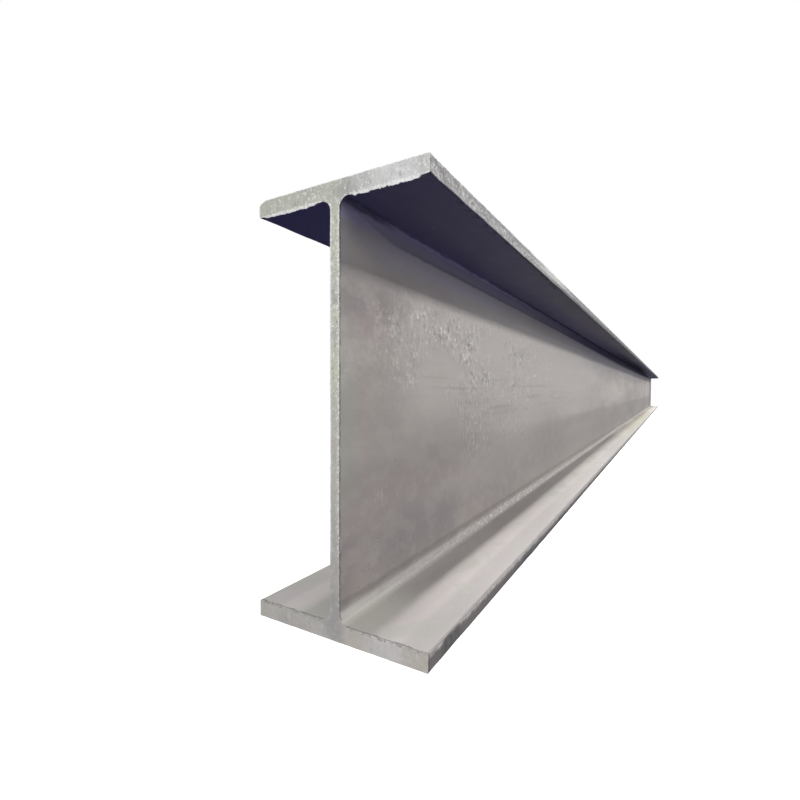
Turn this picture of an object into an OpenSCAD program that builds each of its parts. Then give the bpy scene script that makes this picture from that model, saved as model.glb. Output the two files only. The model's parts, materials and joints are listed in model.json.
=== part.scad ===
// Rolled steel H beam with narrow flanges, one length of mill stock.
// The length runs along Y and the web stands upright in the YZ plane.
// The origin is the middle of the underside of the bottom flange.

/* [Section] */
// Depth over both flanges
depth = 412.8; // [300:0.1:700]
// Width of each flange
flange_width = 179.5; // [120:0.1:320]
// Thickness of each flange
flange_thickness = 16; // [9:0.1:40]
// Thickness of the web
web_thickness = 9.5; // [5:0.1:30]
// Radius of the fillets between the web and the flanges
root_radius = 10.2; // [5:0.1:30]
// Radius that the rolls leave on the long corners of the flanges
toe_radius = 1.5; // [0.5:0.1:4]

/* [Stock] */
// Length that the beam is sold in
stock_length = 8000; // [1000:500:18000]

/* [Hidden] */
// Half the thickness of the web with a fillet beside it
root_reach = web_thickness / 2 + root_radius;
// Heights between which the faces of the web are flat
web_flat_bottom = flange_thickness + root_radius;
web_flat_top = depth - flange_thickness - root_radius;
// How far the web's outline runs into each flange, so that the two join as one
overlap = flange_thickness / 2;
// How far a cutting shape stands past what it cuts
margin = 1;
arc_segments = 96;

// One flange seen from its end: a flat bar with its four corners rolled round
module flange_outline() {
    translate([toe_radius, 0])
        square([flange_width - 2 * toe_radius, flange_thickness]);
    translate([0, toe_radius])
        square([flange_width, flange_thickness - 2 * toe_radius]);
    for (x = [toe_radius, flange_width - toe_radius], z = [toe_radius, flange_thickness - toe_radius])
        translate([x, z])
            circle(r = toe_radius, $fn = arc_segments);
}

// The hollow on the right of the web, round where the web turns into the flanges
module root_hollow() {
    translate([web_thickness / 2, web_flat_bottom])
        square([root_radius + margin, web_flat_top - web_flat_bottom]);
    for (z = [web_flat_bottom, web_flat_top])
        translate([root_reach, z])
            circle(r = root_radius, $fn = arc_segments);
}

// The web seen from its end, with its four root fillets
module web_outline() {
    difference() {
        translate([-root_reach, flange_thickness - overlap])
            square([2 * root_reach, depth - 2 * (flange_thickness - overlap)]);
        root_hollow();
        mirror([1, 0]) root_hollow();
    }
}

// The rolled section, with its underside on the X axis
module rolled_section() {
    for (z = [0, depth - flange_thickness])
        translate([-flange_width / 2, z])
            flange_outline();
    web_outline();
}

module h_beam() {
    color("#97928d")
        translate([0, stock_length / 2, 0])
            rotate([90, 0, 0])
                linear_extrude(height = stock_length)
                    rolled_section();
}

h_beam();
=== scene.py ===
import json
import math
import bpy
import bmesh
from mathutils import Matrix, Vector, noise


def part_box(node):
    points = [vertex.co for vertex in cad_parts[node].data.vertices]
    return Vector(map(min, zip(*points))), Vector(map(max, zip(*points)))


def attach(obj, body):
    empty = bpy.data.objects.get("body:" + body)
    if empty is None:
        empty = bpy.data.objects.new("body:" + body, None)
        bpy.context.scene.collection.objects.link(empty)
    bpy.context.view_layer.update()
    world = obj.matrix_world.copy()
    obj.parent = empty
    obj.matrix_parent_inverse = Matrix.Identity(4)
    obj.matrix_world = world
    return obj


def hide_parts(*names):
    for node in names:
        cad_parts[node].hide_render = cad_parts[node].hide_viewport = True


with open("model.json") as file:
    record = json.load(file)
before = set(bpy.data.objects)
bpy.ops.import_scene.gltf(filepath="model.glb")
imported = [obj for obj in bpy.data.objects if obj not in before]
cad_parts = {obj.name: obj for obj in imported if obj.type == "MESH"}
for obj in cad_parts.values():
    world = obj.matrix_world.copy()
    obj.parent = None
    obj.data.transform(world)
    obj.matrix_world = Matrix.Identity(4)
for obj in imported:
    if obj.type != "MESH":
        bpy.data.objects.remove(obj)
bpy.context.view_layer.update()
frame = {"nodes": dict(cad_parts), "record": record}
print("frame loaded")

mm = 0.001
hair = 1e-5                      # nearer than this counts as touching
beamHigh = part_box("h_beam")[1]
mountPlace = {mount["name"]: Vector(mount["pos_m"]) for mount in frame["record"]["mounts"]}
cadPoints = [vertex.co for vertex in frame["nodes"]["h_beam"].data.vertices]

halfWidth = beamHigh.x
halfLength = beamHigh.y
depth = beamHigh.z
halfWeb = mountPlace["web_face_right"].x
flangeTop = mountPlace["bottom_flange_seat_right"].z      # top of the bottom flange
flangeUnder = mountPlace["top_flange_seat_right"].z       # underside of the top flange
rootReach = min(abs(co.x) for co in cadPoints if abs(co.z - flangeTop) < hair)
toeReach = max(abs(co.x) for co in cadPoints if abs(co.z) < hair)


def ramp(low, high, value):
    # 0 at low, 1 at high, soft at both
    share = min(max((value - low) / (high - low), 0.0), 1.0)
    return share * share * (3 - 2 * share)


def wander(*place):
    # soft noise, about -1 to 1
    return noise.noise(Vector(place)) * 1.6


# the rolled beam: its outline is cut into small cells at both ends and coarse strips between

beamShape = {
    "rootSegments": 10,
    "toeSegments": 4,
    "cutCell": 1.0 * mm,          # cells across the flanges on the cut faces
    "webCell": 1.6 * mm,          # cells up the web on the cut faces
    "cutRings": [0.7, 1.4, 2.2, 3.1, 4.2, 5.6, 7.6, 11, 18],   # mm behind each cut face
    "flangeStrip": 14 * mm,       # widths of the strips between the ends
    "toeStrip": 4 * mm,
    "webStrip": 40 * mm,
    "firstStep": 6 * mm,          # ring spacing by the ends, which grows towards the middle
    "stepGrowth": 1.018,
    "longestStep": 60 * mm,
}


def outlineFace(bm):
    right = [(halfWidth, 0), (halfWidth, flangeTop), (halfWeb, flangeTop),
             (halfWeb, flangeUnder), (halfWidth, flangeUnder), (halfWidth, depth)]
    corners = [bm.verts.new((x, -halfLength, z)) for x, z in right + [(-x, z) for x, z in reversed(right)]]
    bm.faces.new(corners)
    roots = [v for v in corners if abs(v.co.x) < rootReach]
    toes = [v for v in corners if v not in roots]
    for group, radius, segments in ((roots, rootReach - halfWeb, beamShape["rootSegments"]),
                                    (toes, halfWidth - toeReach, beamShape["toeSegments"])):
        bmesh.ops.bevel(bm, geom=group, offset=radius, segments=segments, profile=0.5,
                        affect="VERTICES", material=-1)


def evenly(low, high, cell):
    count = max(round((high - low) / cell), 1)
    return [low + (high - low) * step / count for step in range(1, count)]


def cutAcross(bm, axis, places):
    normal = Vector([float(axis == other) for other in "XYZ"])
    for place in places:
        bmesh.ops.bisect_plane(bm, geom=bm.verts[:] + bm.edges[:] + bm.faces[:],
                               dist=beamShape["cutCell"] * 0.25, plane_co=normal * place, plane_no=normal)


def growRing(bm, rim, y):
    made = bmesh.ops.extrude_edge_only(bm, edges=rim)["geom"]
    ring = {item for item in made if isinstance(item, bmesh.types.BMVert)}
    bmesh.ops.translate(bm, verts=list(ring), vec=(0, y - next(iter(ring)).co.y, 0))
    return [item for item in made if isinstance(item, bmesh.types.BMEdge) and set(item.verts) <= ring]


def isSpare(vertex):
    # true for a point on a straight stretch of the rim, away from the coarse strips' edges
    first, second = (e.other_vert(vertex).co - vertex.co for e in vertex.link_edges if e.is_boundary)
    if first.angle(second) < math.radians(179.5):
        return False
    onToe = abs(vertex.co.x) > halfWidth - hair
    onWeb = abs(vertex.co.x) < halfWeb + hair
    strip = beamShape["toeStrip" if onToe else "webStrip" if onWeb else "flangeStrip"]
    cell = beamShape["webCell" if onWeb else "cutCell"]
    along = vertex.co.z if onToe or onWeb else vertex.co.x
    return abs(along - round(along / strip) * strip) > cell * 0.51


def growBeam():
    bm = bmesh.new()
    outlineFace(bm)
    cutAcross(bm, "X", evenly(-halfWidth, halfWidth, beamShape["cutCell"]))
    thin = beamShape["cutCell"] * 1.3
    cutAcross(bm, "Z", evenly(0, flangeTop, thin) + evenly(flangeUnder, depth, thin))
    cutAcross(bm, "Z", evenly(flangeTop, flangeUnder, beamShape["webCell"]))
    rim = [e for e in bm.edges if e.is_boundary]
    for ring in beamShape["cutRings"]:
        y = -halfLength + ring * mm
        rim = growRing(bm, rim, y)
    spare = [v for v in {v for e in rim for v in e.verts} if isSpare(v)]
    bmesh.ops.dissolve_verts(bm, verts=spare)
    rim = [e for e in bm.edges if e.is_boundary]
    step = beamShape["firstStep"]
    while y < 0:
        y = min(y + step, 0.0)
        rim = growRing(bm, rim, y)
        step = min(step * beamShape["stepGrowth"], beamShape["longestStep"])
    bmesh.ops.mirror(bm, geom=bm.verts[:] + bm.edges[:] + bm.faces[:], matrix=Matrix.Identity(4),
                     merge_dist=hair, axis="Y")
    bmesh.ops.recalc_face_normals(bm, faces=bm.faces[:])
    return bm


# burrs and dents: what the saw and the rolls left

marks = {
    "hang": 2.1 * mm,             # burr that hangs under the top flange along each cut
    "hangDepth": 4.2 * mm,        # how far it reaches back from the cut face
    "lump": 0.55 * mm,            # ragged edge of that burr: broad lumps, teeth and nicks
    "lumpLength": 7 * mm,
    "tooth": 0.8 * mm,
    "toothLength": 1.7 * mm,
    "nick": 0.75 * mm,
    "nickLength": 0.9 * mm,
    "webChip": 0.55 * mm,         # chips along the web's cut edges
    "lip": 0.25 * mm,             # raised lip along the bottom flange's cut
    "outerWear": 0.35 * mm,       # wear of the outer cut edges
    "cutRelief": 0.35 * mm,       # waves on the cut faces
    "toeWave": 0.35 * mm,         # rolled waves along the flange toes
    "softCorner": 2.4 * mm,       # the left top corner of the near cut, which is knocked round
    "softReach": 9 * mm,
}


def hangAt(x, end):
    # how far the burr hangs at x
    fromRoot = abs(x) - rootReach
    toToe = halfWidth - abs(x)
    full = 6 * mm if x > 0 else 10 * mm
    lumps = marks["lump"] * wander(x / marks["lumpLength"], end * 7.3, 2.0)
    teeth = marks["tooth"] * wander(x / marks["toothLength"], end * 3.1, 5.0)
    nicks = marks["nick"] * wander(x / marks["nickLength"], end * 5.9, 8.0)
    start = 0.3 * ramp(-1 * mm, 0.5 * mm, fromRoot) + 0.7 * ramp(full * 0.4, full, fromRoot)
    finish = ramp(4 * mm, 13 * mm, toToe + 3 * mm * wander(x / (2.2 * mm), end, 14.0))
    return max(marks["hang"] + lumps + teeth + nicks, 0.0) * start * finish * ramp(0, 1 * mm, toToe)


def roughen(bm):
    burr = bm.verts.layers.float.new("burr")
    moved = {}
    for vertex in bm.verts:
        x, y, z = vertex.co
        end = 1.0 if y > 0 else -1.0
        fromEnd = halfLength - abs(y)
        side = 1.0 if x > 0 else -1.0
        shift = Vector((0, 0, 0))
        onCut = fromEnd < hair
        nearCut = 1 - ramp(0.0, 1.6 * mm, fromEnd)
        if abs(z - flangeUnder) < hair and abs(x) > rootReach * 0.8:
            back = 1 - ramp(0.5 * mm, marks["hangDepth"], fromEnd)
            fall = hangAt(x, end) * back
            shift.z -= fall
            vertex[burr] = min(fall / marks["hang"], 1.0)
        elif abs(abs(x) - halfWeb) < hair and nearCut > 0:
            chip = wander(z / (3.2 * mm), side * 4.0, end) + 0.5 * wander(z / (1.3 * mm), side * 9.0, end)
            chip = max(chip, 0.0) * nearCut * (1.0 if side > 0 else 0.5)
            shift.x += side * marks["webChip"] * chip
            vertex[burr] = min(chip, 1.0) * 0.8
        elif abs(z - flangeTop) < hair and nearCut > 0:
            lip = max(0.5 + wander(x / (9 * mm), 11.0, end) + 0.3 * wander(x / (2.5 * mm), 12.0, end), 0.0)
            shift.z += marks["lip"] * lip * nearCut
            vertex[burr] = min(lip, 1.0) * nearCut * 0.15
        if nearCut > 0:
            wear = 0.6 + 0.5 * wander(x / (6 * mm), z / (6 * mm), 21.0 * end)
            wear = marks["outerWear"] * wear * nearCut
            if z > depth - hair:
                shift.z -= wear
            if z < hair:
                shift.z += wear * 0.8
            if abs(x) > halfWidth - hair:
                shift.x -= side * wear
        corner = ramp(marks["softReach"], 0.0, halfWidth + x) * ramp(depth - 6 * mm, depth, z)
        corner = corner * ramp(marks["softReach"], 0.0, fromEnd)
        if corner > 0 and end < 0:
            shift.z -= marks["softCorner"] * corner
            shift.x += marks["softCorner"] * 0.6 * corner
        if abs(x) > toeReach - hair:
            wave = 1 + wander(y / (38 * mm), z / (9 * mm), side * 3)
            wave = wave + 0.5 * wander(y / (9 * mm), z / (4 * mm), side)
            strength = 1.0 if z > depth / 2 else 0.6
            shift.x -= side * max(wave, 0.0) * marks["toeWave"] * strength * ramp(0.0, 12 * mm, fromEnd)
        if onCut:
            relief = 0.5 + 0.45 * wander(x / (17 * mm), z / (17 * mm), end)
            relief = relief + 0.25 * wander(x / (5 * mm), z / (5 * mm), end)
            shift.y -= end * marks["cutRelief"] * max(relief, 0.0) * (1 - min(vertex[burr], 1.0))
        moved[vertex] = shift
    for vertex, shift in moved.items():
        vertex.co += shift


def edgeGap(x, z):
    # distance from a point of the section to its outline
    inFlange = z < flangeTop or z > flangeUnder
    if not inFlange:
        return halfWeb - abs(x)
    fromOuter = z if z < flangeTop else depth - z
    fromInner = flangeTop - z if z < flangeTop else z - flangeUnder
    if abs(x) < rootReach:
        fromInner = fromOuter
    return min(fromOuter, fromInner, halfWidth - abs(x))


bm = growBeam()
print("beam grown:", len(bm.verts), "vertices,", len(bm.faces), "faces")
rimGap = bm.verts.layers.float.new("rimGap")
for vertex in bm.verts:
    vertex[rimGap] = edgeGap(vertex.co.x, vertex.co.z)
for face in bm.faces:
    middle = face.calc_center_median()
    face.material_index = 1 if halfLength - abs(middle.y) < 0.1 * mm else 0
    face.smooth = True
roughen(bm)
for edge in bm.edges:
    materials = {face.material_index for face in edge.link_faces}
    edge.smooth = len(materials) == 1
mesh = bpy.data.meshes.new("hBeam")
bm.to_mesh(mesh)
bm.free()
hBeam = bpy.data.objects.new("hBeam", mesh)
bpy.context.scene.collection.objects.link(hBeam)
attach(hBeam, "root")
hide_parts("h_beam")
print("beam roughened")


# finishes

def tone(code):
    # a display colour such as "#97928d" as the linear colour that nodes take
    parts = [int(code[place:place + 2], 16) / 255 for place in (1, 3, 5)]
    linear = [part / 12.92 if part < 0.04045 else ((part + 0.055) / 1.055) ** 2.4 for part in parts]
    return tuple(linear) + (1.0,)


class Wire:
    # a node's output that can be reckoned with like a number

    def __init__(self, tree, socket):
        self.tree = tree
        self.socket = socket

    def node(self, kind, settings=None, inputs=None, output=0):
        made = self.tree.nodes.new(kind)
        for name, value in (settings or {}).items():
            setattr(made, name, value)
        for name, value in (inputs or {}).items():
            if isinstance(value, Wire):
                self.tree.links.new(value.socket, made.inputs[name])
            else:
                made.inputs[name].default_value = value
        return Wire(self.tree, made.outputs[output])

    def reckon(self, operation, *values):
        return self.node("ShaderNodeMath", {"operation": operation}, dict(enumerate(values)))

    def __add__(self, other):
        return self.reckon("ADD", self, other)

    def __sub__(self, other):
        return self.reckon("SUBTRACT", self, other)

    def __mul__(self, other):
        return self.reckon("MULTIPLY", self, other)

    def __truediv__(self, other):
        return self.reckon("DIVIDE", self, other)

    def __radd__(self, other):
        return self.reckon("ADD", other, self)

    def __rsub__(self, other):
        return self.reckon("SUBTRACT", other, self)

    def __rmul__(self, other):
        return self.reckon("MULTIPLY", other, self)

    def __rtruediv__(self, other):
        return self.reckon("DIVIDE", other, self)

    def between(self, low, high):
        # 0 up to low, 1 from high on, soft between
        return self.node("ShaderNodeMapRange", {"interpolation_type": "SMOOTHSTEP", "clamp": True},
                         {"Value": self, "From Min": low, "From Max": high})

    def scaled(self, x, y, z):
        return self.node("ShaderNodeMapping", {}, {"Vector": self, "Scale": (x, y, z)})

    def grain(self, scale, detail=2.0, roughness=0.5):
        return self.node("ShaderNodeTexNoise", {},
                         {"Vector": self, "Scale": scale, "Detail": detail, "Roughness": roughness})

    def cells(self, scale):
        return self.node("ShaderNodeTexVoronoi", {}, {"Vector": self, "Scale": scale})

    def part(self, axis):
        return self.node("ShaderNodeSeparateXYZ", {}, {"Vector": self}, "XYZ".index(axis))

    def unsigned(self):
        return self.reckon("ABSOLUTE", self)

    def orMore(self, other):
        # the larger of the two
        return self.reckon("MAXIMUM", self, other)

    def band(self, low, high, soft):
        # 1 from low to high, 0 outside
        return self.between(low - soft, low + soft) * (1 - self.between(high - soft, high + soft))

    def tint(self, share, colour):
        # this colour, with another laid over it by share
        return self.node("ShaderNodeMix", {"data_type": "RGBA"}, {0: share, 6: self, 7: colour}, 2)

    def mixed(self, low, high):
        # one colour where this is 0, another where it is 1
        return self.node("ShaderNodeMix", {"data_type": "RGBA"}, {0: self, 6: low, 7: high}, 2)


def newFinish(name):
    material = bpy.data.materials.new(name)
    material.use_nodes = True
    start = Wire(material.node_tree, None)
    place = start.node("ShaderNodeTexCoord", {}, {}, "Object")
    shader = material.node_tree.nodes["Principled BSDF"]
    return material, start, place, shader


def plug(start, shader, name, value):
    if isinstance(value, Wire):
        start.tree.links.new(value.socket, shader.inputs[name])
    else:
        shader.inputs[name].default_value = value


def attribute(start, name):
    return start.node("ShaderNodeAttribute", {"attribute_name": name}, {}, "Fac")


scaleLook = {
    "base": tone("#9d968f"),      # plain scale
    "light": tone("#c0bab1"),     # its lighter clouds, and painted light on the web and the toes
    "dark": tone("#6c6867"),      # its streaks, scuffs and nicks, the shaded side of flakes, and painted shade on the web and in the roots
    "pink": tone("#a29594"),      # low on the web
    "blush": tone("#9a8585"),     # a patch high on the web, near the cut
    "verge": tone("#8b8e89"),     # the web beside the cut
    "lichen": tone("#8f918b"),    # the bottom flange by the root, near the cut
    "lavender": tone("#b5afbd"),  # painted sheen in the upper root
    "green": tone("#9fa294"),     # the web beside the cut, halfway up
    "under": tone("#4d4d74"),     # bluish scale of the top flange's underside, darkened as painted shade
    "shade": tone("#5d5a6d"),     # the web under the top flange, far away
    "streak": tone("#928ea3"),    # the ribbon of painted shade along the upper root, lightened by a painted sheen
    "black": tone("#2a2930"),     # black lines along the toes
    "cleanAndLit": tone("#bab5b7"),     # the outer half of the bottom flange, and painted light on the roots
    "mossy": tone("#afb0a6"),     # patches on that outer half
    "cream": tone("#bfbba4"),     # its far end
    "dustAndShade": tone("#645f66"),     # dust and painted shade beside the lower root
    "toe": tone("#80807e"),       # top toes
    "toeDark": tone("#7a746c"),   # dirt and painted shade on the bottom toes
    "toeMoss": tone("#5f665c"),   # stains in that dirt
    "corner": tone("#77736c"),    # streaks on the bottom toes
    "bend": tone("#8d8985"),      # painted shade on the round upper corner of the bottom toes, and on those toes away from the cut
    "deep": tone("#19181d"),      # darkest painted shade, in the upper root and the underside's inner corner
    "fringe": tone("#3b3a4b"),    # painted shade along the ragged upper root near the cut
    "ash": tone("#62635f"),       # outer part of the underside
    "lowShade": tone("#66636b"),      # painted shade on the lowest part of the web
    "line": tone("#47444a"),      # pits and dark specks
    "rim": tone("#e5dfd8"),       # bright steel of the bottom toes, partly painted light, and painted light on the bottom flange
    "root": tone("#756f70"),      # painted shade at the foot of the lower fillet
    "farLow": tone("#7b7a73"),    # lower web
    "toeFar": tone("#3c3b3f"),    # painted shade on the top toes away from the cut
    "burr": tone("#e2e1da"),      # bare steel: burrs, scuffs and flakes; also painted highlights: glints and the lit sides of flakes
    "roughness": 0.46,
    "metal": 0.2,
    "bump": 0.7,
    "bumpHeight": 0.8 * mm,
}


def millScale():
    material, start, place, shader = newFinish("millScale")
    height = place.part("Z")
    across = place.part("X").unsigned()
    fromEnd = halfLength - place.part("Y").unsigned()
    rolled = place.scaled(1.0, 0.2, 1.0)
    clouds = rolled.grain(7.0, 3.0, 0.55)
    mottle = place.scaled(1.0, 0.5, 1.0).grain(38.0, 4.0, 0.62)
    blotch = place.scaled(1.0, 0.55, 1.0).grain(52.0, 3.0, 0.6)
    streaks = place.scaled(1.0, 0.06, 1.0).grain(26.0, 3.0, 0.6)
    flakes = place.grain(135.0, 3.0, 0.6)
    grit = place.grain(900.0, 2.0, 0.6)
    drift = place.scaled(1.0, 0.45, 1.0).grain(9.0, 2.0)
    notOuter = height.band(6 * mm, depth - 6 * mm, 2 * mm)
    onWeb = notOuter * (1 - across.between(halfWeb + 1 * mm, halfWeb + 3 * mm))
    fromTop = flangeUnder - height
    far = fromEnd.between(0.5, 1.8)

    colour = clouds.between(0.3, 0.72).mixed(scaleLook["base"], scaleLook["light"])

    # the web: green beside the cut, pink low down, with ruled lines and scuffs, and painted light and shade
    # painted light on the web away from the cut
    colour = colour.tint(onWeb * fromEnd.band(0.5, 1.6, 0.3) * 0.45, scaleLook["light"])
    colour = colour.tint(onWeb * far * streaks.between(0.4, 0.62) * 0.18, scaleLook["dark"])
    # painted light: a lighter band on the upper web, away from the cut
    paintedLight = onWeb * height.band(0.19, 0.335, 0.045)
    paintedLight = paintedLight * fromEnd.between(0.08, 0.2) * (1 - fromEnd.between(0.7, 2.4))
    colour = colour.tint(paintedLight * 0.85, scaleLook["light"])
    low = onWeb * (1 - height.between(0.11, 0.185))
    colour = colour.tint(low * 0.35, scaleLook["pink"])
    # painted shade, darker towards the foot of the web
    lowShading = 0.2 + fromEnd.band(0.07, 0.3, 0.05) * 0.3 + (1 - fromEnd.between(10 * mm, 40 * mm)) * 0.2
    lowShading = lowShading * onWeb * (1 - height.between(0.06, 0.125))
    colour = colour.tint(lowShading, scaleLook["lowShade"])
    colour = colour.tint(low * fromEnd.between(2.5, 4.5) * 0.25, scaleLook["lowShade"])
    colour = colour.tint(low * fromEnd.band(0.45, 1.2, 0.15) * 0.12, scaleLook["lowShade"])
    damp = (1 - fromEnd.between(10 * mm, 45 * mm)) * height.band(0.13, 0.26, 0.04) * onWeb
    colour = colour.tint(damp * 0.65, scaleLook["green"])
    lowest = onWeb * (1 - height.between(0.145, 0.165))
    colour = colour.tint(lowest * (0.15 + far * 0.25), scaleLook["farLow"])
    blush = fromEnd.band(28 * mm, 95 * mm, 14 * mm) * fromTop.band(76 * mm, 118 * mm, 12 * mm)
    colour = colour.tint(blush * onWeb * 0.55, scaleLook["blush"])
    verge = onWeb * (1 - fromEnd.between(15 * mm, 50 * mm)) * (1 - fromTop.between(90 * mm, 140 * mm))
    colour = colour.tint(verge * (0.5 - fromTop.between(20 * mm, 45 * mm) * 0.3), scaleLook["verge"])
    # painted shade on the upper web near the cut
    nearCutShade = (1 - fromEnd.between(70 * mm, 160 * mm)) * fromTop.band(62 * mm, 104 * mm, 16 * mm)
    colour = colour.tint(nearCutShade * onWeb * 0.5, scaleLook["dark"])
    colour = colour.tint(far * onWeb * height.between(0.14, 0.2) * 0.18, scaleLook["light"])
    lines = place.scaled(0.0, 0.03, 1.0).grain(130.0, 2.0)
    ruled = height.band(0.19, 0.25, 0.02) * onWeb * fromEnd.between(0.08, 0.3) * (1 - far)
    colour = colour.tint(lines.between(0.52, 0.66) * ruled * 0.25, scaleLook["dark"])
    colour = colour.tint((1 - lines).between(0.54, 0.66) * ruled * 0.4, scaleLook["light"])
    scuffs = place.scaled(1.0, 1.0, 0.45).grain(230.0, 3.0, 0.6)
    scuffed = drift.between(0.5, 0.62) * height.band(0.12, 0.25, 0.03) * onWeb * (1 - far)
    colour = colour.tint(scuffs.between(0.57, 0.64) * scuffed * 0.5, scaleLook["burr"])
    colour = colour.tint((1 - scuffs).between(0.58, 0.65) * scuffed * 0.5, scaleLook["dark"])

    # loose scale on the upper web, and pits below
    flaky = onWeb * fromTop.band(0.07, 0.17, 0.02) * drift.between(0.36, 0.58)
    denser = 0.08 + fromEnd.between(55 * mm, 105 * mm) * 0.3
    denser = denser + fromEnd.between(110 * mm, 190 * mm) * 0.62
    flaky = flaky * (1 - fromEnd.between(0.35, 1.1)) * denser
    flaky = flaky * (0.35 + place.grain(26.0, 2.0).between(0.42, 0.58) * 0.65)
    colour = colour.tint(flaky * 0.6, scaleLook["light"])
    # the loose flakes' lit sides are painted highlights, their other sides painted shade
    bright = flakes.between(0.55, 0.62) * flaky
    shadow = (1 - flakes).between(0.56, 0.63) * flaky
    colour = colour.tint(blotch.between(0.45, 0.65) * (0.15 - far * 0.15 + flaky * 0.7), scaleLook["light"])
    colour = colour.tint((1 - blotch).between(0.5, 0.62) * flaky * 0.35, scaleLook["dark"])
    colour = colour.tint(bright * 0.85, scaleLook["burr"])
    colour = colour.tint(shadow * 0.75, scaleLook["dark"])
    flecks = place.scaled(1.0, 0.22, 1.0).grain(150.0, 2.0).between(0.62, 0.7) * onWeb
    flecks = flecks * fromEnd.between(0.3, 0.8) * fromTop.band(0.06, 0.2, 0.03)
    colour = colour.tint(flecks * (0.45 - far * 0.33), scaleLook["burr"])
    pits = (1 - place.cells(150.0).between(0.06, 0.22)) * place.grain(11.0, 2.0).between(0.52, 0.6)
    colour = colour.tint(pits * onWeb * (1 - height.between(0.17, 0.24)) * 0.5, scaleLook["line"])

    # the lower root: a fillet with painted light and painted glints, below a line of painted shade
    wavy = height + (mottle - 0.5) * 7 * mm
    nearWeb = notOuter * (1 - across.between(rootReach - 1 * mm, rootReach + 1 * mm))
    # painted shade: a dark line above the fillet
    shadeLine = wavy.band(flangeTop + 13.5 * mm, flangeTop + 20 * mm, 2.5 * mm)
    colour = colour.tint(shadeLine * 0.5, scaleLook["dark"])
    fillet = nearWeb * height.band(flangeTop + 0.8 * mm, flangeTop + 10.5 * mm, 0.8 * mm)
    filletFoot = 1 - height.between(flangeTop + 3.5 * mm, flangeTop + 8 * mm)
    glints = place.scaled(1.0, 0.4, 1.0).grain(300.0, 3.0, 0.6)
    footShade = fillet * filletFoot * (0.28 + fromEnd.between(0.04, 0.16) * 0.38)
    colour = colour.tint(footShade, scaleLook["root"])
    # painted light on the fillet's upper part
    shoulder = fillet * (1 - filletFoot) * (1 - fromEnd.between(0.4, 1.2))
    colour = colour.tint(shoulder * (0.45 - fromEnd.between(0.03, 0.15) * 0.15), scaleLook["cleanAndLit"])
    colour = colour.tint(shoulder * (1 - fromEnd.between(0.02, 0.09)) * 0.3, scaleLook["rim"])
    # painted glints on the fillet, with painted dark specks between them
    glinting = fillet * (0.06 + fromEnd.between(0.15, 0.6) * 0.42)
    colour = colour.tint(glinting * glints.between(0.52, 0.66), scaleLook["burr"])
    colour = colour.tint(glinting * (1 - glints).between(0.52, 0.66), scaleLook["dark"])

    # the upper root: a ribbon of painted shade with a torn edge, which widens and deepens away from the
    # cut, with painted light and painted sheen near the cut
    torn = place.scaled(1.0, 0.5, 1.0).grain(150.0, 3.0, 0.65) - 0.5
    ribbonEdge = fromTop + torn * 4 * mm - fromEnd.between(20 * mm, 120 * mm) * 12 * mm
    # painted light in the upper root near the cut
    lit = onWeb * ribbonEdge.between(5 * mm, 8 * mm) * (1 - fromTop.between(30 * mm, 50 * mm))
    lit = lit * (0.2 + fromEnd.between(0.02, 0.12) * 0.65) * (1 - fromEnd.between(0.3, 0.8))
    colour = colour.tint(lit, scaleLook["cleanAndLit"])
    ribbonFade = 2.5 * mm + fromEnd.between(0.7, 3.0) * 16 * mm
    shadeRibbon = onWeb * (1 - ((ribbonEdge - 5 * mm) / ribbonFade).between(0.0, 1.0))
    shadeRibbon = shadeRibbon.orMore(nearWeb * (1 - ribbonEdge.between(5 * mm, 7.5 * mm)))
    # painted sheen in the upper root beside the cut
    mouth = nearWeb * fromTop.band(6 * mm, 17 * mm, 2 * mm) * (1 - fromEnd.between(30 * mm, 90 * mm))
    colour = colour.tint(mouth * 0.9, scaleLook["lavender"])
    colour = colour.tint(shadeRibbon * 0.5, scaleLook["streak"])
    # painted shade: a dark line at the ribbon's edge
    rootShadeLine = ribbonEdge.band(2.2 * mm, 5.5 * mm, 1 * mm) * fromEnd.between(0.06, 0.2)
    colour = colour.tint(nearWeb * rootShadeLine * 0.25, scaleLook["deep"])
    # painted shade, deepening away from the cut
    depths = fromEnd.between(-0.1, 1.7) * 0.64 + fromEnd.between(0.9, 2.4) * 0.22
    colour = colour.tint(shadeRibbon * depths, scaleLook["deep"])
    # painted shade on the upper web under the top flange
    gloom = onWeb * (1 - fromTop.between(16 * mm, 40 * mm)) * fromEnd.between(0.6, 2.6)
    colour = colour.tint(gloom * 0.38, scaleLook["deep"])
    dimmed = onWeb * fromTop.band(20 * mm, 42 * mm, 3 * mm) * fromEnd.band(0.6, 1.7, 0.2)
    colour = colour.tint(dimmed * 0.2, scaleLook["dark"])
    # a thin painted highlight just under the top flange
    thread = (fromTop + torn * 4 * mm).band(1.4 * mm, 3 * mm, 0.5 * mm) * fromEnd.between(0.1, 0.18)
    colour = colour.tint(nearWeb * thread * (1 - fromEnd.between(0.5, 1.0)) * 0.6, scaleLook["lavender"])

    # the web away from the cut: painted shade under the top flange, painted light below it, and painted
    # shade towards the far end
    shaded = onWeb * (1 - fromTop.between(25 * mm, 125 * mm)) * far
    colour = colour.tint(shaded * 0.55, scaleLook["shade"])
    # painted shade below the top flange, far from the cut
    farShade = onWeb * fromTop.band(62 * mm, 115 * mm, 22 * mm) * fromEnd.between(2.0, 4.0)
    colour = colour.tint(farShade * 0.28, scaleLook["dark"])
    # painted light under the top flange's shadow
    litBand = onWeb * fromTop.band(50 * mm, 92 * mm, 9 * mm) * fromEnd.band(0.4, 1.5, 0.25)
    colour = colour.tint(litBand * 0.4, scaleLook["light"])
    along = place.part("Y")
    # painted shade towards the far end
    farEndShade = along.between(halfLength - 1.2, halfLength - 0.3) * 0.5 + along.between(0.2, 1.4) * 0.12
    colour = colour.tint(onWeb * farEndShade, scaleLook["dark"])
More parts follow.
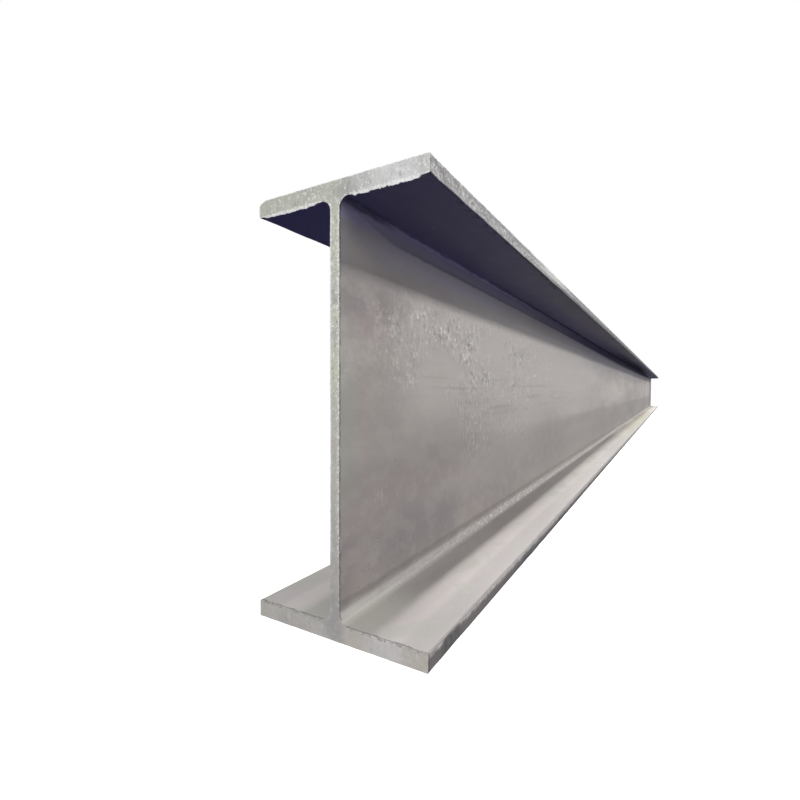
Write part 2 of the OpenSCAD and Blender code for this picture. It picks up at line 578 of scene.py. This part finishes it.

    # the bottom flange: dust and painted shade beside the web, clean further out, with painted light over
    # the shade
    flat = 1 - height.between(flangeTop + 0.3 * mm, flangeTop + 1 * mm)
    outer = (across + fromEnd.between(0.3, 3.0) * 14 * mm).between(0.033, 0.046)
    foot = 1 - height.between(flangeTop + 0.8 * mm, flangeTop + 2.4 * mm)
    # dust and painted shade beside the web
    dustAndShade = foot * (1 - outer) * across.between(halfWeb + 4 * mm, halfWeb + 8 * mm)
    dustAndShade = dustAndShade * (0.17 + fromEnd.between(40 * mm, 120 * mm) * 0.45) * (1 - fromEnd.between(0.9, 3.6))
    colour = colour.tint(dustAndShade, scaleLook["dustAndShade"])
    byCut = 1 - fromEnd.between(40 * mm, 160 * mm)
    colour = colour.tint(foot * (1 - outer) * byCut * 0.65, scaleLook["lichen"])
    colour = colour.tint(fillet * (1 - foot) * byCut * 0.45, scaleLook["verge"])
    colour = colour.tint(flat * outer * 0.6, scaleLook["cleanAndLit"])
    # painted light over the soft edge of the top flange's shadow
    colour = colour.tint(flat * across.band(43 * mm, 64 * mm, 5 * mm) * 0.22, scaleLook["rim"])
    patches = place.scaled(1.0, 0.5, 1.0).grain(30.0, 2.0)
    colour = colour.tint(flat * outer * patches.between(0.48, 0.58) * 0.55, scaleLook["mossy"])
    # painted glints on the outer half
    colour = colour.tint(flat * outer * glints.between(0.6, 0.7) * 0.12, scaleLook["burr"])
    colour = colour.tint(flat * outer * (1 - fromEnd.between(20 * mm, 200 * mm)) * 0.25, scaleLook["dustAndShade"])
    colour = colour.tint(flat * outer * fromEnd.between(1.4, 5.0) * 0.9, scaleLook["cream"])
    # painted light over the shade beside the web, far from the cut
    colour = colour.tint(foot * (1 - outer) * fromEnd.between(2.0, 6.5) * 0.62, scaleLook["rim"])
    colour = colour.tint(foot * along.between(0.6, 2.0) * 0.7, scaleLook["rim"])

    # the toes: dirt and painted shade low on the bottom ones, painted light above it, and speckled wear and
    # painted shade along the top ones
    raggedness = place.scaled(1.0, 0.5, 1.0).grain(90.0, 3.0, 0.6) - 0.5
    toe = across.between(toeReach, toeReach + 0.8 * mm)
    drips = place.scaled(1.0, 1.0, 0.3).grain(270.0, 3.0, 0.65) - 0.5
    stained = fromEnd.band(0.03, 0.072, 0.008)
    dirtAndShadeLine = height + raggedness * 7 * mm + drips * 8 * mm
    dirtAndShadeLine = dirtAndShadeLine + fromEnd.between(0.03, 0.6) * 3.4 * mm - stained * 3 * mm
    dirtAndShade = 1 - dirtAndShadeLine.between(9 * mm, 15 * mm)
    upper = height.between(depth * 0.4, depth * 0.6)
    streaky = place.scaled(1.0, 0.3, 1.0).grain(170.0, 3.0, 0.65)
    lowToe = toe * (1 - upper)
    # painted light on the bottom toes, partly bright steel
    colour = colour.tint(lowToe, scaleLook["rim"])
    colour = colour.tint(lowToe * (0.06 + streaky.between(0.52, 0.68) * 0.4), scaleLook["corner"])
    colour = colour.tint(lowToe * fromEnd.between(0.12, 0.45) * 0.35, scaleLook["bend"])
    # dirt and painted shade on the lower part of the bottom toes
    colour = colour.tint(lowToe * dirtAndShade * 0.95, scaleLook["toeDark"])
    colour = colour.tint(lowToe * dirtAndShade * patches.between(0.52, 0.6) * 0.6, scaleLook["toeMoss"])
    colour = colour.tint(lowToe * dirtAndShade * stained * drips.between(-0.1, 0.06) * 0.8, scaleLook["toeMoss"])
    footLine = (1 - (height + drips * 5 * mm).between(2.5 * mm, 6 * mm)) * fromEnd.between(0.12, 0.5)
    colour = colour.tint(lowToe * footLine * 0.7, scaleLook["black"])
    # painted shade on the round corner above the bottom toes, against a highlight
    bend = flat * across.between(toeReach - 0.2 * mm, toeReach + 0.3 * mm)
    bend = bend * height.between(flangeTop - 2.2 * mm, flangeTop - 1.2 * mm)
    colour = colour.tint(bend * (1 - fromEnd.between(0.08, 0.4) * 0.25), scaleLook["bend"])
    onToe = toe * upper
    colour = colour.tint(onToe, scaleLook["toe"])
    speckle = place.scaled(1.0, 0.55, 1.0).grain(430.0, 3.0, 0.7)
    colour = colour.tint(onToe * streaky.between(0.5, 0.66) * 0.3, scaleLook["burr"])
    colour = colour.tint(onToe * (1 - streaky).between(0.5, 0.66) * 0.35, scaleLook["dark"])
    colour = colour.tint(onToe * speckle.between(0.54, 0.6) * 0.7, scaleLook["burr"])
    colour = colour.tint(onToe * (1 - speckle).between(0.53, 0.6) * 0.8, scaleLook["line"])
    crest = onToe * (depth - height + raggedness * 5 * mm).band(2 * mm, 6 * mm, 1.2 * mm)
    crest = crest * (0.5 + fromEnd.between(0.1, 0.2) * 0.3) * (1 - fromEnd.between(0.7, 1.2))
    colour = colour.tint(crest, scaleLook["line"])
    lip = onToe * (height + torn * 3 * mm).band(flangeUnder + 1 * mm, flangeUnder + 5 * mm, 1 * mm)
    colour = colour.tint(lip * (1 - fromEnd.between(0.15, 0.4)) * 0.2, scaleLook["burr"])
    colour = colour.tint(onToe * (1 - fromEnd.between(0.1, 0.4)) * 0.3, scaleLook["dark"])
    colour = colour.tint(onToe * fromEnd.band(0.4, 0.62, 0.08) * 0.42, scaleLook["burr"])
    # painted shade on the top toes away from the cut, deepest low down
    colour = colour.tint(onToe * fromEnd.between(0.5, 1.6) * 0.7, scaleLook["toeFar"])
    sunk = 1 - (height + drips * 5 * mm).between(flangeUnder + 3 * mm, flangeUnder + 10 * mm)
    colour = colour.tint(onToe * sunk * fromEnd.between(0.2, 0.65) * 0.95, scaleLook["toeFar"])
    # painted light on the toes of the shaded left side
    shadeSide = 1 - place.part("X").between(-1 * mm, 1 * mm)
    colour = colour.tint((onToe + lowToe) * shadeSide * 0.5, scaleLook["light"])

    # the underside of the top flange: bluish scale darkened with painted shade, darkest in its far corner
    underLine = height + raggedness * 3 * mm + torn * 3 * mm
    under = underLine.between(flangeUnder - 1.8 * mm, flangeUnder - 0.8 * mm)
    under = under * (1 - height.between(flangeUnder + 0.3 * mm, flangeUnder + 2.2 * mm))
    colour = colour.tint(under * 0.85, scaleLook["under"])
    # painted shade along the ragged edge of the upper root near the cut
    fringe = (height + raggedness * 4 * mm).between(flangeUnder - 5 * mm, flangeUnder - 2.5 * mm)
    fringe = fringe * (1 - height.between(flangeUnder - 0.4 * mm, flangeUnder))
    fringe = fringe * (1 - fromEnd.between(50 * mm, 120 * mm))
    colour = colour.tint(nearWeb * fringe * 0.8, scaleLook["fringe"])
    ashen = across.between(40 * mm, 78 * mm) * fromEnd.band(0.45, 2.6, 0.3)
    colour = colour.tint(under * ashen * 0.6, scaleLook["ash"])
    # a ragged black line along the underside's outer edge
    underEdgeBlack = under * (across + raggedness * 16 * mm + drips * 8 * mm).between(81 * mm, 86 * mm)
    underEdgeBlack = underEdgeBlack * (raggedness + torn).between(-0.02, 0.12) * fromEnd.band(0.07, 0.6, 0.04)
    colour = colour.tint(underEdgeBlack * 0.65, scaleLook["black"])
    # painted shade in the underside's inner corner, deepening away from the cut
    corner = under * (1 - across.between(rootReach - 3 * mm, rootReach + 3 * mm))
    colour = colour.tint(corner * fromEnd.between(0.25, 1.0) * 0.65, scaleLook["deep"])
    inner = across - fromEnd.between(3.0, 6.0) * 25 * mm
    inner = (1 - inner.between(30 * mm, 85 * mm)) * fromEnd.between(0.7, 3.8)
    colour = colour.tint(under * inner * 0.95, scaleLook["deep"])

    # edges: a black line under the top toes, nicks along the cut, and the pale burr
    edge = (height + raggedness * 5 * mm).band(flangeUnder - 1.5 * mm, flangeUnder + 1.2 * mm, 0.3 * mm)
    edge = edge * (0.35 + fromEnd.between(0.12, 0.35) * 0.55)
    colour = colour.tint(edge * across.between(toeReach - 1 * mm, toeReach), scaleLook["black"])
    nicked = (fromEnd + raggedness * 6 * mm + drips * 3 * mm).band(0.2 * mm, 2.6 * mm, 0.4 * mm)
    nicked = nicked * fromEnd.between(0.3 * mm, 0.8 * mm)
    colour = colour.tint((onWeb + flat) * nicked * 0.85, scaleLook["dark"])
    colour = colour.tint(attribute(start, "burr") * 0.9, scaleLook["burr"])
    plug(start, shader, "Base Color", colour)
    hidden = under * inner * 0.4 + shadeRibbon * depths * 0.4
    plug(start, shader, "Roughness", scaleLook["roughness"] + mottle * 0.16 + bright * -0.1 + hidden)
    plug(start, shader, "Metallic", scaleLook["metal"])
    rough = (flakes * (0.2 + flaky * 3.0) + grit * 0.3 + mottle * 0.8) * (1 - far * 0.8) + streaky * toe
    bump = start.node("ShaderNodeBump", {}, {"Height": rough, "Strength": scaleLook["bump"],
                                             "Distance": scaleLook["bumpHeight"]})
    plug(start, shader, "Normal", bump)
    return material


cutLook = {
    "base": tone("#c6c6c1"),      # sawn steel
    "yellow": tone("#c9cab0"),    # tarnish in clouds
    "grey": tone("#a2a3a0"),      # duller clouds and saw streaks
    "pale": tone("#d3d6b6"),      # the web's tarnish
    "bright": tone("#f2f2ee"),    # flecks, burrs and scraped places
    "warm": tone("#dcd4c3"),      # the bottom flange
    "cool": tone("#d9d6e2"),      # left edge of the web
    "dark": tone("#7f807d"),      # specks and chips
    "roughness": 0.5,
    "metal": 0.25,
    "bump": 0.5,
    "bumpHeight": 0.4 * mm,
}


def cutSteel():
    material, start, place, shader = newFinish("cutSteel")
    height = place.part("Z")
    across = place.part("X")
    burr = attribute(start, "burr")
    rim = 1 - attribute(start, "rimGap").between(0.2 * mm, 1.6 * mm)
    clouds = place.grain(22.0, 3.0, 0.6)
    yellow = place.grain(14.0, 2.0)
    specks = place.grain(420.0, 2.0, 0.6)
    dots = place.grain(700.0, 2.0, 0.6)
    saw = place.scaled(1.0, 1.0, 0.12).grain(300.0, 2.0, 0.6)
    onWeb = 1 - across.unsigned().between(halfWeb, halfWeb + 2 * mm)
    onWeb = onWeb * height.band(flangeTop + 60 * mm, flangeUnder - 10 * mm, 12 * mm)
    upper = height.between(depth * 0.4, depth * 0.6)
    fine = 0.35 + upper * 0.65 + onWeb * 0.2
    colour = clouds.between(0.35, 0.68).mixed(cutLook["grey"], cutLook["base"])
    colour = colour.tint(yellow.between(0.4, 0.6) * 0.45, cutLook["yellow"])
    colour = colour.tint(onWeb * (0.45 + yellow.between(0.45, 0.6) * 0.4), cutLook["pale"])
    colour = colour.tint(upper * across.between(5 * mm, 60 * mm) * 0.5, cutLook["bright"])
    colour = colour.tint((1 - upper) * (0.45 + across.between(2 * mm, 14 * mm) * 0.35), cutLook["warm"])
    colour = colour.tint((1 - upper) * across.band(34 * mm, 68 * mm, 12 * mm) * 0.4, cutLook["bright"])
    colour = colour.tint(upper * across.between(68 * mm, 86 * mm) * 0.35, cutLook["grey"])
    lowWeb = (1 - height.between(0.06, 0.25)) * (1 - across.unsigned().between(halfWeb, rootReach))
    colour = colour.tint(lowWeb * 0.3, cutLook["grey"])
    colour = colour.tint(saw.between(0.5, 0.68) * (0.1 + upper * 0.15), cutLook["grey"])
    scraped = (1 - saw).between(0.58, 0.7) * (1 - upper) * across.between(40 * mm, 75 * mm)
    colour = colour.tint(scraped * 0.4, cutLook["bright"])
    colour = colour.tint(onWeb * (1 - across.between(-4 * mm, -2.4 * mm)) * 0.9, cutLook["cool"])
    rightEdge = onWeb * across.between(1 * mm, 4 * mm) * specks.between(0.4, 0.6)
    colour = colour.tint(rightEdge * 0.8, cutLook["bright"])
    flecks = place.scaled(1.0, 1.0, 0.7).grain(240.0, 3.0, 0.6)
    colour = colour.tint(flecks.between(0.56, 0.66) * fine * 0.6, cutLook["bright"])
    colour = colour.tint((1 - flecks).between(0.58, 0.66) * fine * 0.35, cutLook["dark"])
    chipped = (height + (flecks - 0.5) * 5 * mm).band(flangeTop - 1.3 * mm, flangeTop + 1.5 * mm, 0.5 * mm)
    chipped = chipped * across.unsigned().between(rootReach - 1 * mm, rootReach + 2 * mm)
    colour = colour.tint(chipped * flecks.between(0.44, 0.56) * 0.6, cutLook["dark"])
    sparkle = specks.between(0.6, 0.7) * fine
    colour = colour.tint(sparkle * 0.7, cutLook["bright"])
    colour = colour.tint((1 - dots).between(0.6, 0.7) * fine * 0.55, cutLook["dark"])
    colour = colour.tint(rim * specks.between(0.4, 0.6) * fine * 0.7, cutLook["bright"])
    colour = colour.tint(burr * 0.5, cutLook["bright"])
    plug(start, shader, "Base Color", colour)
    plug(start, shader, "Roughness", cutLook["roughness"] - sparkle * 0.15)
    plug(start, shader, "Metallic", cutLook["metal"])
    rough = saw * 0.4 + specks * 0.5 + clouds
    bump = start.node("ShaderNodeBump", {}, {"Height": rough, "Strength": cutLook["bump"],
                                             "Distance": cutLook["bumpHeight"]})
    plug(start, shader, "Normal", bump)
    return material


mesh.materials.append(millScale())
mesh.materials.append(cutSteel())
print("finishes made")


# the studio

studio = {
    "floorSize": 4000.0,
    "floorTone": tone("#ffffff"),
    "floorRoughness": 0.9,
    "sky": (1.0, 1.0, 1.0, 1.0),
    "below": (0.08, 0.08, 0.22, 1.0),     # light from under the horizon, which tints the undersides
    "skyLight": 0.75,             # how strongly the sky lights the beam
    "floorGlow": 0.4,             # keeps the floor white beside the softboxes
}

camera = bpy.data.objects.new("camera", bpy.data.cameras.new("camera"))
cameraPlace = {
    "beside": 0.2452,             # metres from the middle of the near cut
    "before": 0.3679,
    "above": 0.2258,
    "turn": 35.58,                # degrees
    "tilt": 89.09,
    "lens": 22.262,
    "shift": (0.1024, -0.0019),
}
camera.data.lens = cameraPlace["lens"]
camera.data.shift_x, camera.data.shift_y = cameraPlace["shift"]
camera.location = (cameraPlace["beside"], -halfLength - cameraPlace["before"], cameraPlace["above"])
camera.rotation_euler = (math.radians(cameraPlace["tilt"]), 0, math.radians(cameraPlace["turn"]))
bpy.context.scene.collection.objects.link(camera)
bpy.context.scene.camera = camera


def makeFloor():
    bm = bmesh.new()
    bmesh.ops.create_grid(bm, x_segments=1, y_segments=1, size=studio["floorSize"] / 2)
    floorMesh = bpy.data.meshes.new("floor")
    bm.to_mesh(floorMesh)
    bm.free()
    floor = bpy.data.objects.new("floor", floorMesh)
    bpy.context.scene.collection.objects.link(floor)
    paper = bpy.data.materials.new("paleFloor")
    paper.use_nodes = True
    shader = paper.node_tree.nodes["Principled BSDF"]
    shader.inputs["Base Color"].default_value = studio["floorTone"]
    shader.inputs["Roughness"].default_value = studio["floorRoughness"]
    shader.inputs["Specular IOR Level"].default_value = 0.0
    shader.inputs["Emission Color"].default_value = (1, 1, 1, 1)
    shader.inputs["Emission Strength"].default_value = studio["floorGlow"]
    floorMesh.materials.append(paper)
    floor.visible_diffuse = False
    floor.visible_glossy = False


def makeWorld():
    world = bpy.data.worlds.new("studio")
    world.use_nodes = True
    bpy.context.scene.world = world
    start = Wire(world.node_tree, None)
    direction = start.node("ShaderNodeTexCoord", {}, {}, "Generated")
    up = direction.part("Z").between(-0.14, -0.004)
    seen = start.node("ShaderNodeLightPath", {}, {}, "Is Camera Ray")
    colour = up.orMore(seen).mixed(studio["below"], studio["sky"])
    background = world.node_tree.nodes["Background"]
    plug(start, background, "Color", colour)
    plug(start, background, "Strength", studio["skyLight"] + seen * (1 - studio["skyLight"]))


# places and aims are metres beside, along and above the foot of the near cut
softboxes = {
    "overhead": {
        "place": (0.38, 3.7, 3.0),
        "aim": (0.38, 3.7, 0),
        "size": (0.24, 13.6),
        "power": 125,
        "colour": (1, 1, 1),
    },
    "sideStrip": {
        "place": (3.0, 6, 2.54),
        "aim": (0, 6, 0.34),
        "size": (12.0, 0.36),
        "power": 200,
        "colour": (1.0, 0.985, 0.97),
    },
    "front": {
        "place": (0.5, -2.2, 2.4),
        "aim": (0, 0, 0.2),
        "size": (1.4, 1.4),
        "power": 46,
        "colour": (1, 1, 1),
    },
}


def fromNearCut(beside, along, above):
    return Vector((beside, along - halfLength, above))


def hangSoftbox(name, made):
    light = bpy.data.lights.new(name, "AREA")
    light.shape = "RECTANGLE"
    light.size, light.size_y = made["size"]
    light.energy = made["power"]
    light.color = made["colour"]
    lamp = bpy.data.objects.new(name, light)
    lamp.location = fromNearCut(*made["place"])
    facing = fromNearCut(*made["aim"]) - lamp.location
    lamp.rotation_euler = facing.to_track_quat("-Z", "Y").to_euler()
    lamp.visible_camera = False
    bpy.context.scene.collection.objects.link(lamp)


makeFloor()
makeWorld()
for name, made in softboxes.items():
    hangSoftbox(name, made)
bpy.context.scene.view_settings.view_transform = "Standard"
print("studio set")
